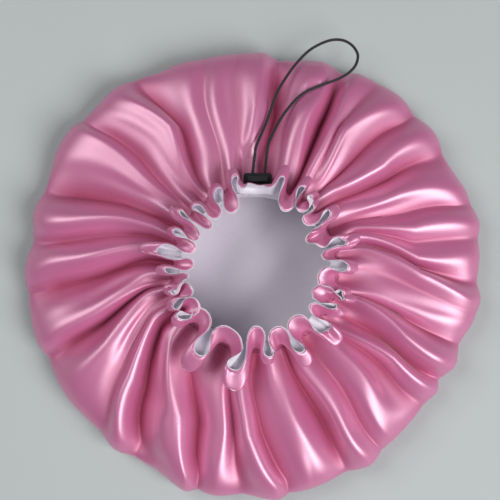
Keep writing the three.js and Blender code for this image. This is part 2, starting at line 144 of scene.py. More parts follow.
add_window("window_light", place=(1.25, -0.95, 1.6), size=1.4, power=41.0, colour=(1.0, 0.98, 0.99))
add_window("room_light", place=(-1.15, 0.5, 1.5), size=1.2, power=14.0, colour=(1.0, 0.99, 0.98))
world = bpy.data.worlds.new("pale_room")
world.use_nodes = True
world.node_tree.nodes["Background"].inputs["Color"].default_value = ROOM_COLOUR
world.node_tree.nodes["Background"].inputs["Strength"].default_value = ROOM_STRENGTH
bpy.context.scene.world = world

# The drawstring's free loop: a round elastic with a black braided cover. It leaves the casing by two
# buttonholes, runs straight through the cord lock, and lies in a long loop over the folds and past the rim.
MILLIMETRE = 0.001
CORD_DIAMETER = 0.0024
CORD_SIDES = 16
CORD_STEPS = 9
CORD_HEIGHT = 0.049
CORD_COLOUR = (0.012, 0.012, 0.015)
CORD_ROUGHNESS = 0.55
CORD_SHEEN = 0.25
BRAID_TURNS = 4
BRAID_PITCH = 0.0032
BRAID_DEPTH = 0.0002
STRAND_LEAN = np.tan(np.radians(7.0))
STRAND_SPACING = 0.0096
STRAND_START_Y = 0.0624
STRAND_ENDS_Y = [0.0942, 0.0966]
LOOP_ROUTE = MILLIMETRE * np.array([
    [2.3, 101, 47.8],
    [5.6, 109.5, 45],
    [9.8, 119.9, 41.6],
    [18.1, 143.7, 37.6],
    [26.9, 159.9, 33.6],
    [34.9, 171.3, 30.6],
    [44.8, 182.2, 28],
    [54.8, 188.7, 26.5],
    [64.8, 192.3, 26],
    [73.7, 192, 26],
    [80.5, 188.4, 26.2],
    [84.8, 182.8, 26.8],
    [86, 177.2, 27.8],
    [83.6, 169.5, 29.6],
    [78, 163.1, 31.4],
    [70, 157.9, 33],
    [60.1, 153.6, 34.6],
    [50.3, 149.5, 36],
    [42.4, 145.8, 37],
    [34.6, 139.8, 38.2],
    [26.7, 130.3, 40],
    [19.9, 119.9, 41.8],
    [15.1, 110, 45],
    [11.6, 101.5, 47.8],
])

lock_low, lock_high = (np.array(corner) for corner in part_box("lock_body"))
lock_centre = (lock_low + lock_high) / 2


def strand(side):
    """The points of a straight strand through the lock, from the casing out: side is -1 or 1."""
    y = np.array([STRAND_START_Y, lock_centre[1], *STRAND_ENDS_Y])
    x = lock_centre[0] + side * STRAND_SPACING / 2 + (y - lock_centre[1]) * STRAND_LEAN
    return np.stack([x, y, np.full(len(y), CORD_HEIGHT)], axis=-1)


def smooth_path(points, steps):
    """A curve through every point, with that many steps between neighbours.

    Each stretch is the cubic whose slope at a point is half the way from the point before to the next one.
    """
    onwards = np.vstack([points[1:], 2 * points[-1] - points[-2]])
    back = np.vstack([2 * points[0] - points[1], points[:-1]])
    slope = (onwards - back) / 2
    share = (np.arange(steps) / steps)[None, :, None]
    start, end = points[:-1, None], points[1:, None]
    leave, arrive = slope[:-1, None], slope[1:, None]
    curve = (
        start * (1 - 3 * share**2 + 2 * share**3)
        + end * (3 * share**2 - 2 * share**3)
        + leave * (share - 2 * share**2 + share**3)
        + arrive * (share**3 - share**2)
    )
    return np.vstack([curve.reshape(-1, points.shape[1]), points[-1]])


def way_along(path):
    """How far along a path each of its points is: the sum of the straight steps before it."""
    return np.append(0, np.cumsum(np.linalg.norm(np.diff(path, axis=0), axis=1)))


def tube_points(path, radius, sides, closed=False):
    """Rings of points round a path. Each ring is square to it, with one axis level with the ground."""
    along = np.roll(path, -1, axis=0) - np.roll(path, 1, axis=0) if closed else np.gradient(path, axis=0)
    along /= np.linalg.norm(along, axis=1, keepdims=True)
    level = np.cross(along, [0, 0, 1.0])
    level /= np.linalg.norm(level, axis=1, keepdims=True)
    upright = np.cross(level, along)
    turn = 2 * np.pi * np.arange(sides) / sides
    ring = np.cos(turn)[None, :, None] * level[:, None] - np.sin(turn)[None, :, None] * upright[:, None]
    return path[:, None] + radius * ring


def braid_normal(tree, turns, pitch, depth):
    """The Normal of a braided cover: two sets of strands that wind round the cord in opposite ways.

    Each set is a sine across its own slanting lines of the UV map, which runs once round the cord and
    along it in metres, and the higher of the two sets shows.
    """
    nodes, links = tree.nodes, tree.links
    uv = nodes.new("ShaderNodeUVMap")
    uv.uv_map = FLAT_MAP
    split = nodes.new("ShaderNodeSeparateXYZ")
    links.new(uv.outputs["UV"], split.inputs["Vector"])

    def maths(operation, first, second):
        node = nodes.new("ShaderNodeMath")
        node.operation = operation
        for socket, value in zip(node.inputs, (first, second)):
            if isinstance(value, bpy.types.NodeSocket):
                links.new(value, socket)
            else:
                socket.default_value = value
        return node.outputs["Value"]

    round_it = maths("MULTIPLY", split.outputs["X"], 2 * np.pi * turns)
    along_it = maths("MULTIPLY", split.outputs["Y"], 2 * np.pi / pitch)
    one_way = maths("SINE", maths("ADD", round_it, along_it), 0)
    other_way = maths("SINE", maths("SUBTRACT", round_it, along_it), 0)
    height = maths("MAXIMUM", one_way, other_way)
    bump = nodes.new("ShaderNodeBump")
    bump.inputs["Distance"].default_value = depth
    links.new(height, bump.inputs["Height"])
    return bump.outputs["Normal"]


cord_material, cord_shader = new_material(
    "black_braided_elastic", CORD_COLOUR, CORD_ROUGHNESS, {"Sheen Weight": CORD_SHEEN}
)
cord_braid = braid_normal(cord_material.node_tree, BRAID_TURNS, BRAID_PITCH, BRAID_DEPTH)
cord_material.node_tree.links.new(cord_braid, cord_shader.inputs["Normal"])


def cord_piece(name, path):
    """A tube of the elastic along a path, with a UV map that runs once round it and along it in metres."""
    turn, along = np.meshgrid(np.arange(CORD_SIDES + 1) / CORD_SIDES, way_along(path))
    points = tube_points(path, CORD_DIAMETER / 2, CORD_SIDES)
    piece = grid_mesh(name, points, ends=True, flat=np.stack([turn, along], axis=-1))
    piece.data.materials.append(cord_material)
    return piece


loop_path = smooth_path(np.vstack([strand(-1), LOOP_ROUTE, strand(1)[::-1]]), CORD_STEPS)
loop = cord_piece("drawstring_loop_cord", loop_path)
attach(loop, "bonnet")
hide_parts("drawstring_loop")

# The outer shell: one round cloth of pink satin, drawn in at the neck by the drawstring. Its crown lies
# flat on the floor, its rim turns up, and its gathered side comes back to the neck in folds and ends in a
# frill. Its shape is worked out in millimetres and degrees, and then brought to metres.
COLUMNS = 576
BODY_STEPS = 3
FRILL_ROWS = 15
CASING_HEIGHT = 44

# Stations along a straight fold, from the crown to the top of the casing: radius, height, the share of the
# folds' relief and of the neck's pleats, and how far the station follows the rim's outline
MERIDIAN = np.array([
    [2, 0.9, 0, 0, 0],
    [20, 0.9, 0, 0, 0],
    [40, 0.9, 0, 0, 0],
    [60, 0.9, 0, 0, 0],
    [80, 0.9, 0, 0, 0],
    [105, 0.9, 0, 0, 0],
    [130, 0.9, 0, 0, 0.3],
    [156, 1, 0, 0, 0.8],
    [170, 2.6, 0.05, 0, 1],
    [179, 6.5, 0.12, 0, 1],
    [183, 13, 0.22, 0, 1],
    [181.5, 20, 0.4, 0, 1],
    [174, 26.5, 0.7, 0, 0.9],
    [162, 31, 0.95, 0, 0.7],
    [145, 34, 1, 0, 0.4],
    [125, 36.5, 1, 0, 0.2],
    [105, 38.5, 0.9, 0.15, 0],
    [89, 40, 0.6, 0.5, 0],
    [77, 41, 0.3, 0.9, 0],
    [69.5, 42.5, 0.1, 0.8, 0],
    [65.5, 45.5, 0, 0.5, 0],
    [64.6, 49, 0, 0.45, 0],
    [64.6, 52.5, 0, 0.45, 0],
    [64.8, 55, 0, 0.5, 0],
])

# The rim's outline seen from above: angle and radius
OUTLINE = np.array([
    [0, 184.5], [14, 189], [26, 184.5], [38, 187.5], [56, 187.8], [68, 184], [80, 180.8], [100, 182],
    [113, 184.5], [124, 191], [133, 189.5], [146, 192], [158, 188.5], [171, 184.8], [186, 188.6],
    [200, 185.4], [213, 183.2], [226, 181.2], [236, 183.6], [245, 180.8], [255, 185.6], [268, 182.6],
    [276, 184.2], [288, 180.6], [300, 182.2], [311, 176.4], [327, 177.4], [340, 179], [351, 185],
])

# The folds' ridges: their angles near the neck, halfway and near the rim, the ridge's height, the depth of
# the valley after it, and the valley's place between this ridge and the next
FOLDS = np.array([
    [12, -2, -7, 8, 7, 0.4],
    [17, 5, 3, 3, 3, 0.55],
    [23, 13.5, 13, 5, 4, 0.5],
    [31, 28, 22, 6, 7, 0.6],
    [46, 38.5, 39, 8, 5, 0.5],
    [54, 56, 51, 8, -2, 0.55],
    [60, 62, 61, 5, 13, 0.42],
    [68, 70.5, 72, 7, 12, 0.72],
    [94, 88, 88, 8, -4, 0.6],
    [104, 102, 100, 5, -2, 0.5],
    [112, 110, 108, 5, 9, 0.72],
    [125, 121, 127, 9, 2, 0.8],
    [140, 140, 141, 7, 9, 0.7],
    [156, 162, 166, 9, 3, 0.5],
    [169, 174.5, 180, 8, 11, 0.36],
    [189, 194.5, 199, 8, 12, 0.34],
    [195.5, 206, 213, 7, 0, 0.75],
    [205, 220.5, 230, 10, 15, 0.3],
    [223, 242, 252, 10, 11, 0.38],
    [254, 258.5, 261, 3, 6, 0.4],
    [262, 266, 276, 9, 5, 0.3],
    [283, 285, 286, 7, 13, 0.6],
    [296, 299, 301, 6, 3, 0.5],
    [314, 312, 309, 7, 5, 0.7],
    [325, 327.5, 326, 7, 11, 0.35],
    [343, 336, 334, 10, 5, 0.5],
    [347, 348, 345, 5, -3, 0.5],
])
FOLD_RADII = [87, 130, 172]
FOLD_SHARES = [0.8, 1, 0.85]
FOLD_UNEVENNESS = 0.25
FOLD_WANDER = 0.9
FOLD_WANDER_LENGTH = 14
VALLEY_SHARPNESS = 0.7
PLEAT_HEIGHT = 3
# Painted shade in the creases: where it starts down a valley, the valley depth that gets it in full, its
# share in the neck's inward pleats, and the rows past the rim over which it comes in
CREASE_SHADE_START = 0.45
CREASE_SHADE_DEPTH = 14
CREASE_SHADE_PLEATS = 0.7
CREASE_SHADE_ROWS = 9

# The frill's loops: angle and the radius that the loop reaches. They go out and in by turns, starting
# outwards, and hardly swing where they stand behind the lock.
LOOPS = np.array([
    [2, 80], [8, 55], [15, 84], [26, 51], [36, 82], [43, 56], [49, 76], [54, 58], [59, 83], [65, 52],
    [72, 84], [79, 69], [88, 72], [97, 69], [104, 80], [112, 50], [119, 72], [127, 53], [133, 70],
    [140, 49], [146, 82], [152, 52], [158, 74], [163, 53], [170, 92], [177, 53], [183, 77], [188, 55],
    [193, 72], [198, 55], [204, 75], [210, 56], [216, 76], [225, 57], [236, 96], [248, 55], [263, 98],
    [271, 51], [279, 76], [288, 54], [297, 87], [307, 53], [318, 88], [325, 55], [331, 78], [337, 54],
    [343, 81], [352, 54],
])
FRILL_HEIGHT_OUT = 9
FRILL_HEIGHT_IN = 14
FRILL_EDGE_RETURN = 0.55
FRILL_INWARD = 2
FRILL_PUFF = 0.68
FRILL_PUFF_LEAST = 1.5
FRILL_OVERHANG = 0.4
FRILL_PINCH = 0.5
FRILL_LEAN = 4.5
FRILL_CALM = [10, 20]
UNEVEN_SEED = 7

uneven = np.random.default_rng(UNEVEN_SEED)
ridge_shares = FOLD_SHARES * (1 + FOLD_UNEVENNESS * uneven.uniform(-1, 1, (len(FOLDS), 3)))
valley_shares = FOLD_SHARES * (1 + FOLD_UNEVENNESS * uneven.uniform(-1, 1, (len(FOLDS), 3)))
wander_phases = uneven.uniform(0, 2 * np.pi, len(FOLDS))


def ring_place(knots, angles):
    """Which knot of a ring comes before each angle, which one after, and the share of the way between."""
    knots = np.append(knots, knots[0] + 360)
    turned = (angles - knots[0]) % 360 + knots[0]
    place = np.clip(np.searchsorted(knots, turned, side="right") - 1, 0, len(knots) - 2)
    share = (turned - knots[place]) / (knots[place + 1] - knots[place])
    return place, (place + 1) % (len(knots) - 1), share


def smooth_ring(knots, values, angles):
    """Values at angles on a ring, eased by half a cosine wave from each knot to the next."""
    before, after, share = ring_place(knots, angles)
    return values[before] + (values[after] - values[before]) * (0.5 - 0.5 * np.cos(np.pi * share))


def at_radius(radius, table):
    """Each fold's value at a radius, from its values near the neck, halfway and near the rim."""
    return np.array([np.interp(radius, FOLD_RADII, values) for values in table])


def fold_ring(radius):
    """Every column's angle, the folds' height there and how deep in a crease it is, on a ring of a radius.

    A column keeps its place between two ridges, so that the grid follows the folds. From ridge to valley
    the height mixes half a cosine wave with a quarter of one: round at the ridge, sharp at the valley.
    The painted crease shade goes from 0 partway down to 1 at the bottom of a deep valley.
    """
    halfway = FOLDS[:, 1]
    gaps = np.diff(np.append(halfway, halfway[0] + 360))
    columns = halfway[0] + 360 * np.arange(COLUMNS) / COLUMNS
    wander = FOLD_WANDER * np.sin(radius / FOLD_WANDER_LENGTH + wander_phases)
    ridges = at_radius(radius, FOLDS[:, :3]) + wander
    angles = np.interp(columns, np.append(halfway, halfway[0] + 360), np.append(ridges, ridges[0] + 360))
    tops = FOLDS[:, 3] * at_radius(radius, ridge_shares)
    floors = -FOLDS[:, 4] * at_radius(radius, valley_shares)
    knots = np.stack([halfway, halfway + FOLDS[:, 5] * gaps], axis=-1).ravel()
    heights = np.stack([tops, floors], axis=-1).ravel()
    before, after, share = ring_place(knots, columns)
    falling = before % 2 == 0
    from_ridge = np.where(falling, share, 1 - share)
    half_wave = 0.5 - 0.5 * np.cos(np.pi * from_ridge)
    quarter_wave = 1 - np.cos(np.pi * from_ridge / 2)
    fall = half_wave + VALLEY_SHARPNESS * (quarter_wave - half_wave)
    ridge = np.where(falling, heights[before], heights[after])
    valley = np.where(falling, heights[after], heights[before])
    low_down = np.clip((fall - CREASE_SHADE_START) / (1 - CREASE_SHADE_START), 0, 1)
    deep = np.clip((ridge - valley) / CREASE_SHADE_DEPTH, 0, 1)
    return angles, ridge + (valley - ridge) * fall, low_down * deep


def grid_normals(points):
    """The outward unit normal at each point of a ring grid, from its neighbours along both directions."""
    along = np.gradient(points, axis=0)
    around = np.roll(points, -1, axis=1) - np.roll(points, 1, axis=1)
    normal = np.cross(around, along)
    return normal / np.linalg.norm(normal, axis=-1, keepdims=True)


def upright_grid(radius, height, angle):
    """Points at a radius, a height and an angle in degrees."""
    turn = np.radians(angle)
    return np.stack([radius * np.cos(turn), radius * np.sin(turn), height], axis=-1)


# The cloths' middle surface: the smooth meridian, moved along its normal by the folds and pleats
meridian = smooth_path(MERIDIAN, BODY_STEPS)
row_radius, row_height, fold_share, pleat_share, rim_share = meridian.T[..., None]
meridian_slope = np.gradient(meridian[:, :2], axis=0)
meridian_slope /= np.linalg.norm(meridian_slope, axis=1, keepdims=True)
slope_out, slope_up = meridian_slope.T[..., None]
body_rows = len(meridian)
rim_row = np.argmax(row_radius)
casing_row = np.argmax(row_height > CASING_HEIGHT)

body_angles, fold_height, fold_crease_shade = np.stack([fold_ring(radius) for radius in meridian[:, 0]], axis=1)
neck_angles = body_angles[-1]
loop_before, loop_after, loop_share = ring_place(LOOPS[:, 0], neck_angles)
loop_phase = np.pi * (loop_before % 2 + loop_share)
loop_out = 0.5 + 0.5 * np.cos(loop_phase)
loop_width = (LOOPS[loop_after, 0] - LOOPS[loop_before, 0]) % 360
relief = fold_share * fold_height + pleat_share * PLEAT_HEIGHT * (2 * loop_out - 1)
# Painted shade: how deep each point lies in a fold's valley or in an inward pleat at the neck, which
# darkens the satin's colour there
past_rim = np.interp(np.arange(body_rows), [rim_row, rim_row + CREASE_SHADE_ROWS], [0, 1])[:, None]
crease_shade = np.minimum(past_rim * fold_crease_shade + CREASE_SHADE_PLEATS * pleat_share * (1 - loop_out) ** 2, 1)
outline = smooth_ring(OUTLINE[:, 0], OUTLINE[:, 1], body_angles) / MERIDIAN[:, 0].max()
body_radius = row_radius * (1 + rim_share * (outline - 1)) + slope_up * relief
body_height = np.maximum(row_height - slope_out * relief, MERIDIAN[0, 1])
body = upright_grid(body_radius, body_height, body_angles)

# The frill above the casing: it swings out and in, puffs out on the way up where it goes out,
# and its loops swell towards the edge, like ribbon candy, and lean to one side
frill_share = (np.arange(1, FRILL_ROWS + 1) / FRILL_ROWS)[:, None]
swing = LOOPS[:, 1] - MERIDIAN[-1, 0]
edge_swings = np.where(swing > 0, FRILL_EDGE_RETURN * swing, swing) - FRILL_INWARD
edge_swing = smooth_ring(LOOPS[:, 0], edge_swings, neck_angles)
puff = smooth_ring(LOOPS[:, 0], FRILL_PUFF_LEAST + FRILL_PUFF * np.maximum(swing, 0), neck_angles)
frill_height = FRILL_HEIGHT_IN + (FRILL_HEIGHT_OUT - FRILL_HEIGHT_IN) * loop_out
loop_gaps = np.diff(np.append(LOOPS[:, 0], LOOPS[0, 0] + 360))
loop_room = np.minimum(loop_gaps, np.roll(loop_gaps, 1)) / loop_gaps.mean()
leans = uneven.uniform(-1, 1, len(LOOPS)) * FRILL_LEAN * np.minimum(loop_room, 1)
lean = smooth_ring(LOOPS[:, 0], leans, neck_angles)
frill_radius = body_radius[-1] + edge_swing * frill_share + puff * np.sin(np.pi * frill_share)
rise = frill_share + loop_out * (frill_share**2 - frill_share)
frill_rise = MERIDIAN[-1, 1] + frill_height * rise
swell = FRILL_OVERHANG * loop_width * np.sin(2 * loop_phase)
pinch = FRILL_PINCH * loop_width * np.sin(loop_phase) * loop_out
frill_turn = (lean * loop_out + swell) * frill_share - pinch * frill_share**2
lock_angle = np.degrees(np.arctan2(lock_centre[1], lock_centre[0]))
from_lock = np.abs((neck_angles - lock_angle + 180) % 360 - 180)
frill_turn *= np.interp(from_lock, FRILL_CALM, [0, 1])
frill = upright_grid(frill_radius, frill_rise, neck_angles + frill_turn)

# Crumples: small waves of several lengths that cross each other, strongest at the frill's edge
CRUMPLE_WAVES = 9
CRUMPLE_TURNS = (17, 64)
CRUMPLE_SLANT = 0.55
CRUMPLE_FRILL = 0.75
CRUMPLE_BODY = 0.28
CRUMPLE_RADII = [70, 110, 170]
CRUMPLE_SHARES = [0, 1, 0.4]

cloth = np.vstack([body, frill])
wave_turns = uneven.integers(*CRUMPLE_TURNS, CRUMPLE_WAVES)
wave_slants = uneven.uniform(-CRUMPLE_SLANT, CRUMPLE_SLANT, CRUMPLE_WAVES)
wave_phases = uneven.uniform(0, 2 * np.pi, CRUMPLE_WAVES)
row_count = np.arange(len(cloth))[:, None]
column_turn = 2 * np.pi * np.arange(COLUMNS) / COLUMNS
crumple = sum(
    np.sin(turns * column_turn + slant * row_count + phase)
    for turns, slant, phase in zip(wave_turns, wave_slants, wave_phases)
)
body_crumple = CRUMPLE_BODY * np.interp(row_radius, CRUMPLE_RADII, CRUMPLE_SHARES) * fold_share
crumple *= np.vstack([body_crumple, CRUMPLE_FRILL * frill_share])
cloth += crumple[..., None] * grid_normals(cloth)
cloth *= MILLIMETRE

# The gathered side stays under the cord and under the lock's way along it, here in metres
CORD_BED = 0.0027
CORD_BED_HALF_WIDTH = 0.002
LOCK_BED_HEIGHT = 0.0392
LOCK_BED = np.array([[-0.0105, 0.060], [0.0175, 0.094]])
BED_SLOPE = 0.7
BED_CASING_ROWS = 2
BED_PATH_STEP = 3

bed_rows = cloth[rim_row : casing_row + BED_CASING_ROWS]
bed_path = loop_path[::BED_PATH_STEP]
cord_gaps = np.linalg.norm(bed_rows[:, :, None, :2] - bed_path[:, :2], axis=-1)
nearest = np.argmin(cord_gaps, axis=-1)
cord_gap = np.take_along_axis(cord_gaps, nearest[..., None], axis=-1)[..., 0]
cord_limit = bed_path[nearest, 2] - CORD_BED + BED_SLOPE * np.maximum(cord_gap - CORD_BED_HALF_WIDTH, 0)
lock_gap = np.maximum(np.maximum(LOCK_BED[0] - bed_rows[..., :2], bed_rows[..., :2] - LOCK_BED[1]), 0)
lock_limit = LOCK_BED_HEIGHT + BED_SLOPE * np.linalg.norm(lock_gap, axis=-1)
bed_rows[..., 2] = np.minimum(bed_rows[..., 2], np.minimum(cord_limit, lock_limit))

# The casing and the frill stay behind the lock, and the frill leans out over it a little
LOCK_WALL = 0.0632
LOCK_WALL_SLOPE = 2.2
LOCK_WALL_LEAN = 0.12

wall_rows = cloth[casing_row:]
wall_gap = np.maximum(np.maximum(lock_low[0] - wall_rows[..., 0], wall_rows[..., 0] - lock_high[0]), 0)
wall_limit = LOCK_WALL + LOCK_WALL_SLOPE * wall_gap
wall_limit += LOCK_WALL_LEAN * np.maximum(wall_rows[..., 2] - lock_high[2], 0)
wall_rows[..., 1] = np.minimum(wall_rows[..., 1], wall_limit)

# Each point's place on the flat circle that the cloth is cut from
cloth_normals = grid_normals(cloth)
cloth_steps = np.linalg.norm(np.diff(cloth, axis=0), axis=-1).mean(axis=1)
cloth_reach = MILLIMETRE * MERIDIAN[0, 0] + np.append(0, np.cumsum(cloth_steps))
flat_turn = 2 * np.pi * np.arange(COLUMNS + 1) / COLUMNS
flat_cloth = cloth_reach[:, None, None] * np.stack([np.cos(flat_turn), np.sin(flat_turn)], axis=-1)

# The satin, with pairs of values that go from the open cloth to the bottom of a crease. The second colour
# is a painted shade.
SATIN_THICKNESS = 0.0003
SHELL_OFFSET = 0.0006
SATIN_AND_SHADE_COLOURS = [(0.7, 0.165, 0.39), (0.45, 0.025, 0.135)]
SATIN_ROUGHNESS = [0.38, 0.78]
SATIN_METALLIC = [0.13, 0.6]
SATIN_SHINE = {"Specular IOR Level": 0.85, "IOR": 2.2, "Sheen Weight": 0.25, "Sheen Roughness": 0.4}
STREAK_SIZE = (0.007, 0.0006, 1)
STREAK_DEPTH = 0.00004
STREAK_SHARE = 0.16
CREASE_SHADE_MARK = "crease_shade"


def fine_grain_group():
    """A node group for fine grain: noise at a place that is scaled first, so that it can be drawn out.

    It puts out the grain as a mask from 0 to 1, and the Normal of a surface that the grain raises.
    """
    group = bpy.data.node_groups.new("fine_grain", "ShaderNodeTree")
    for name, kind in {"Place": "Vector", "Scale": "Vector", "Depth": "Float"}.items():
        group.interface.new_socket(name, in_out="INPUT", socket_type=f"NodeSocket{kind}")
    for name, kind in {"Grain": "Float", "Normal": "Vector"}.items():
        group.interface.new_socket(name, in_out="OUTPUT", socket_type=f"NodeSocket{kind}")
    entry = group.nodes.new("NodeGroupInput")
    way_out = group.nodes.new("NodeGroupOutput")
    scaled = group.nodes.new("ShaderNodeVectorMath")
    scaled.operation = "MULTIPLY"
    noise = group.nodes.new("ShaderNodeTexNoise")
    noise.inputs["Scale"].default_value = 1
    raised = group.nodes.new("ShaderNodeBump")
    group.links.new(entry.outputs["Place"], scaled.inputs[0])
    group.links.new(entry.outputs["Scale"], scaled.inputs[1])
    group.links.new(scaled.outputs["Vector"], noise.inputs["Vector"])
    group.links.new(noise.outputs["Fac"], raised.inputs["Height"])
    group.links.new(entry.outputs["Depth"], raised.inputs["Distance"])
    group.links.new(noise.outputs["Fac"], way_out.inputs["Grain"])
    group.links.new(raised.outputs["Normal"], way_out.inputs["Normal"])
    return group


fine_grain = fine_grain_group()


def add_grain(material, shader, size, depth, uv_name=None):
    """The mask of a fine grain of a size along each axis, which also gives the shader its Normal.

    The grain lies on a UV map of the piece where one is named, and otherwise in Object coordinates.
    """
    nodes, links = material.node_tree.nodes, material.node_tree.links
    grain = nodes.new("ShaderNodeGroup")
    grain.node_tree = fine_grain
    grain.inputs["Scale"].default_value = [1 / length for length in size]
    grain.inputs["Depth"].default_value = depth
    if uv_name:
        place = nodes.new("ShaderNodeUVMap")
        place.uv_map = uv_name
        links.new(place.outputs["UV"], grain.inputs["Place"])
    else:
        place = nodes.new("ShaderNodeTexCoord")
        links.new(place.outputs["Object"], grain.inputs["Place"])
    links.new(grain.outputs["Normal"], shader.inputs["Normal"])
    return grain.outputs["Grain"]


def lead_by_mask(material, shader, mask, colours, ranges):
    """Lead the colour and each named socket from its first value to its second, by a mask from 0 to 1."""
    nodes, links = material.node_tree.nodes, material.node_tree.links
    ramp = nodes.new("ShaderNodeValToRGB")
    for stop, colour in zip(ramp.color_ramp.elements, colours):
        stop.color = (*colour, 1)
    links.new(mask, ramp.inputs["Fac"])
    links.new(ramp.outputs["Color"], shader.inputs["Base Color"])
    for socket, (first, second) in ranges.items():
        led = nodes.new("ShaderNodeMapRange")
        led.inputs["To Min"].default_value = first
        led.inputs["To Max"].default_value = second
        links.new(mask, led.inputs["Value"])
        links.new(led.outputs["Result"], shader.inputs[socket])


# Painted shade: in the creases the pink is painted deeper, for the shade and the light that bounces from
# cloth to cloth, and the white shine is lost
shell_material, shell_shader = new_material("pink_satin", SATIN_AND_SHADE_COLOURS[0], SATIN_ROUGHNESS[0], SATIN_SHINE)
shell_nodes, shell_links = shell_material.node_tree.nodes, shell_material.node_tree.links
shell_streaks = add_grain(shell_material, shell_shader, STREAK_SIZE, STREAK_DEPTH, FLAT_MAP)
crease_shade_mark = shell_nodes.new("ShaderNodeAttribute")
crease_shade_mark.attribute_name = CREASE_SHADE_MARK
# The mask adds the satin's random streaks to the painted crease shade
grain_and_shade_mask = shell_nodes.new("ShaderNodeMath")
grain_and_shade_mask.operation = "MULTIPLY_ADD"
shell_links.new(shell_streaks, grain_and_shade_mask.inputs[0])
grain_and_shade_mask.inputs[1].default_value = STREAK_SHARE
shell_links.new(crease_shade_mark.outputs["Fac"], grain_and_shade_mask.inputs[2])
shell_ranges = {"Roughness": SATIN_ROUGHNESS, "Metallic": SATIN_METALLIC}
lead_by_mask(shell_material, shell_shader, grain_and_shade_mask.outputs["Value"], SATIN_AND_SHADE_COLOURS, shell_ranges)

shell = grid_mesh("outer_shell_cloth", cloth + SHELL_OFFSET * cloth_normals, pole=True, flat=flat_cloth)
shell.data.materials.append(shell_material)

# The points of the frill and the middle of the crown, which come last in the mesh, have no painted crease
# shade
crease_shade_marks = np.append(crease_shade, np.zeros(FRILL_ROWS * COLUMNS + 1)).astype(np.float32)
shell.data.attributes.new(CREASE_SHADE_MARK, "FLOAT", "POINT").data.foreach_set("value", crease_shade_marks)
shell_wall = shell.modifiers.new("satin", "SOLIDIFY")
shell_wall.thickness = SATIN_THICKNESS
shell_wall.offset = -1
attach(shell, "bonnet")
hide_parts("outer_shell_crown", "outer_shell_gathered")

# The lining: one round cloth of white satin inside the shell, sewn to it at the frill's edge and by the two
# rows of the casing. It shows as the floor of the opening and as a thin pale line along the frill.
LINING_OFFSET_BODY = 0.0014
LINING_OFFSET_CASING = 0.0049
LINING_OFFSET_FRILL = 0.0005
LINING_CASING_RADIUS = 0.059
LINING_CASING_TOP = 4
LINING_JOIN_ROWS = 5
LINING_PROUD = 0.0007
LINING_COLOURS = [(0.93, 0.87, 0.97), (0.81, 0.75, 0.85)]
LINING_ROUGHNESS = [0.34, 0.5]
LINING_SHEEN = 0.2
FLOOR_WRINKLE = 0.0011
FLOOR_WRINKLE_REACH = 0.15
FLOOR_WRINKLE_FADE = 0.05

# The waves that wrinkle the floor of the opening: radians a metre along X and Y, and the phase
FLOOR_WAVES = np.array([
    [95, 40, 0.6],
    [-62, 70, 2.1],
])


def grained_material(name, colours, roughness, size, depth, uv_name=None, sockets=None):
    """A material whose colour and roughness go from the first value to the second by its own fine grain."""
    material, shader = new_material(name, colours[0], roughness[0], sockets)
    grain = add_grain(material, shader, size, depth, uv_name)
    lead_by_mask(material, shader, grain, colours, {"Roughness": roughness})
    return material


lining_material = grained_material(
    "white_satin",
    LINING_COLOURS,
    LINING_ROUGHNESS,
    STREAK_SIZE,
    STREAK_DEPTH,
    uv_name=FLAT_MAP,
    sockets={"Sheen Weight": LINING_SHEEN},
)

lining_offset = np.full(len(cloth), LINING_OFFSET_BODY)
lining_offset[casing_row:] = LINING_OFFSET_CASING
lining_offset[body_rows:] = np.interp(
    np.arange(FRILL_ROWS), [0, LINING_JOIN_ROWS], [LINING_OFFSET_CASING, LINING_OFFSET_FRILL]
)
lining_points = cloth - lining_offset[:, None, None] * cloth_normals
floor_part = lining_points[:rim_row]
floor_radius = np.linalg.norm(floor_part[..., :2], axis=-1)
floor_fade = np.clip((FLOOR_WRINKLE_REACH - floor_radius) / FLOOR_WRINKLE_FADE, 0, 1)
wrinkles = sum(1 + np.sin(floor_part[..., :2] @ wave[:2] + wave[2]) for wave in FLOOR_WAVES)
floor_part[..., 2] += FLOOR_WRINKLE * floor_fade * wrinkles
casing_part = lining_points[casing_row : body_rows + LINING_CASING_TOP, :, :2]
casing_part *= np.minimum(1, LINING_CASING_RADIUS / np.linalg.norm(casing_part, axis=-1, keepdims=True))
edge_step = cloth[-1] - cloth[-2]
edge_step *= LINING_PROUD / np.linalg.norm(edge_step, axis=-1, keepdims=True)
lining_points = np.concatenate([lining_points, lining_points[-1:] + edge_step])
lining_flat = np.concatenate([flat_cloth, flat_cloth[-1:] * (1 + LINING_PROUD / cloth_reach[-1])])
lining = grid_mesh("lining_cloth", lining_points, pole=True, flat=lining_flat)
lining.data.materials.append(lining_material)
lining_wall = lining.modifiers.new("satin", "SOLIDIFY")
lining_wall.thickness = SATIN_THICKNESS
lining_wall.offset = 1
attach(lining, "bonnet")
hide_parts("lining")

# The casing's sewing: two rows of pink thread, a running stitch through shell and lining. Each row is one
# unbroken thread that lies on the cloth for a stitch and dips under it for the gap to the next one.
STITCHES = 134
STITCH_STEPS = 8
STITCH_HEIGHTS = {"lower": 0.043, "upper": 0.0543}
STITCH_WAVE = 1.3
STITCH_LIFT = 0.3
STITCH_LEVELS = (-0.6, 0.8)
THREAD_RADIUS = 0.00032
THREAD_SIDES = 6
THREAD_RISE = 0.0007
THREAD_COLOURS = [(0.66, 0.155, 0.335), (0.44, 0.1, 0.22)]
THREAD_ROUGHNESS = [0.45, 0.65]
THREAD_SHEEN = 0.3
THREAD_FIBRE = (0.00025, 0.00025, 0.00025)
THREAD_FIBRE_DEPTH = 0.00005

thread_material = grained_material(
    "pink_thread",
    THREAD_COLOURS,
    THREAD_ROUGHNESS,
    THREAD_FIBRE,
    THREAD_FIBRE_DEPTH,
    sockets={"Sheen Weight": THREAD_SHEEN},
)
gathered = cloth[rim_row:body_rows]
gathered_normals = cloth_normals[rim_row:body_rows]


